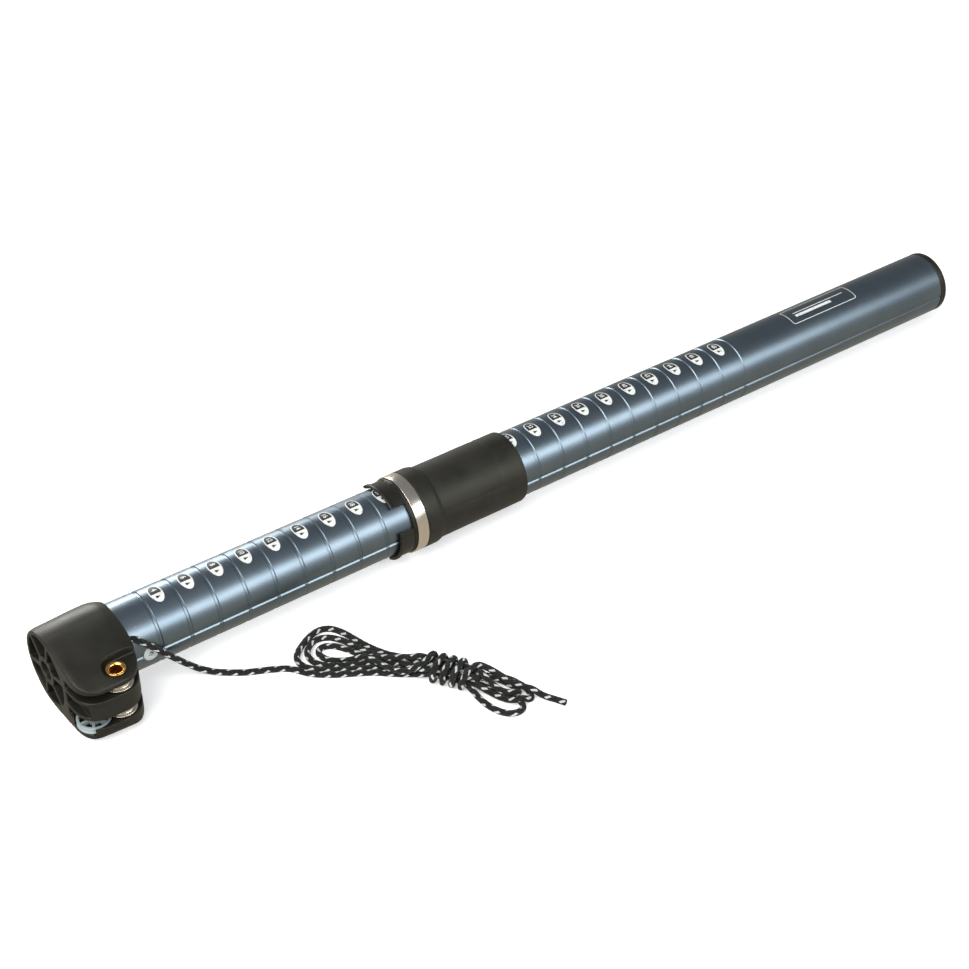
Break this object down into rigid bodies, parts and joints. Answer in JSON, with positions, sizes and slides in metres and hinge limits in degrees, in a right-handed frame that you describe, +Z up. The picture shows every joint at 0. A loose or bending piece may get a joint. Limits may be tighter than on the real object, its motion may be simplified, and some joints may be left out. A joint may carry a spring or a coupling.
{
  "type": "adjustable mast extension",
  "caption": "Adjustable windsurf mast extension: grooved alloy tube, pulley head, locking collar with a sliding ring, and its downhaul line tied in a hank.",
  "frame": {"origin": "middle of the rigid pieces' footprint, on the surface that the part lies on", "axes": "+X along the tube from the pulley head to the tip, +Z up with the sheaves' axle upright, -Y towards the pulley side"},
  "size_m": [0.7243, 0.2054, 0.0526],
  "materials": {
    "alloy": "satin blue-grey anodised",
    "black_plastic": "fine moulded texture",
    "rubber": "matt, slightly scuffed",
    "stainless": "brushed round the ring",
    "brass": "polished",
    "zinc_steel": "bright zinc plated",
    "grey_plastic": "satin",
    "bronze": "sintered, dull",
    "nylon": "natural moulded",
    "braid": "braided, pale flecks"
  },
  "bodies": {
    "base": {"mast_tube": "alloy", "tip_plug": "black_plastic", "foot_core": "nylon", "core_screw_front": "zinc_steel", "core_screw_back": "zinc_steel", "pulley_head": "black_plastic", "hollow_axle": "brass", "guide_wheel_pin": "zinc_steel", "line_knot": "braid", "line_run": "braid", "line_hank": "braid", "line_tail": "braid"},
    "collar": {"collar_core": "black_plastic", "collar_key": "zinc_steel", "rubber_sleeve": "rubber"},
    "ring": {"lock_ring": "stainless"},
    "sheave_upper": {"upper_sheave": "stainless", "upper_bush": "bronze"},
    "sheave_lower": {"lower_sheave": "stainless", "lower_bush": "bronze"},
    "wheel": {"guide_wheel": "grey_plastic"}
  },
  "joints": [
    {"name": "collar_slide", "type": "slide", "parent": "base", "child": "collar", "axis": [1, 0, 0], "range_m": [-0.14, 0.28]},
    {"name": "lock_ring_slide", "type": "slide", "parent": "collar", "child": "ring", "axis": [1, 0, 0], "range_m": [-0.0095, 0]},
    {"name": "upper_sheave_spin", "type": "hinge", "parent": "base", "child": "sheave_upper", "pos_m": [-0.335, -0.02845, 0.0364], "axis": [0, 0, 1], "continuous": true},
    {"name": "lower_sheave_spin", "type": "hinge", "parent": "base", "child": "sheave_lower", "pos_m": [-0.335, -0.02845, 0.0162], "axis": [0, 0, 1], "continuous": true},
    {"name": "guide_wheel_spin", "type": "hinge", "parent": "base", "child": "wheel", "pos_m": [-0.3514, -0.02505, 0.0106], "axis": [0, 0, 1], "continuous": true}
  ]
}
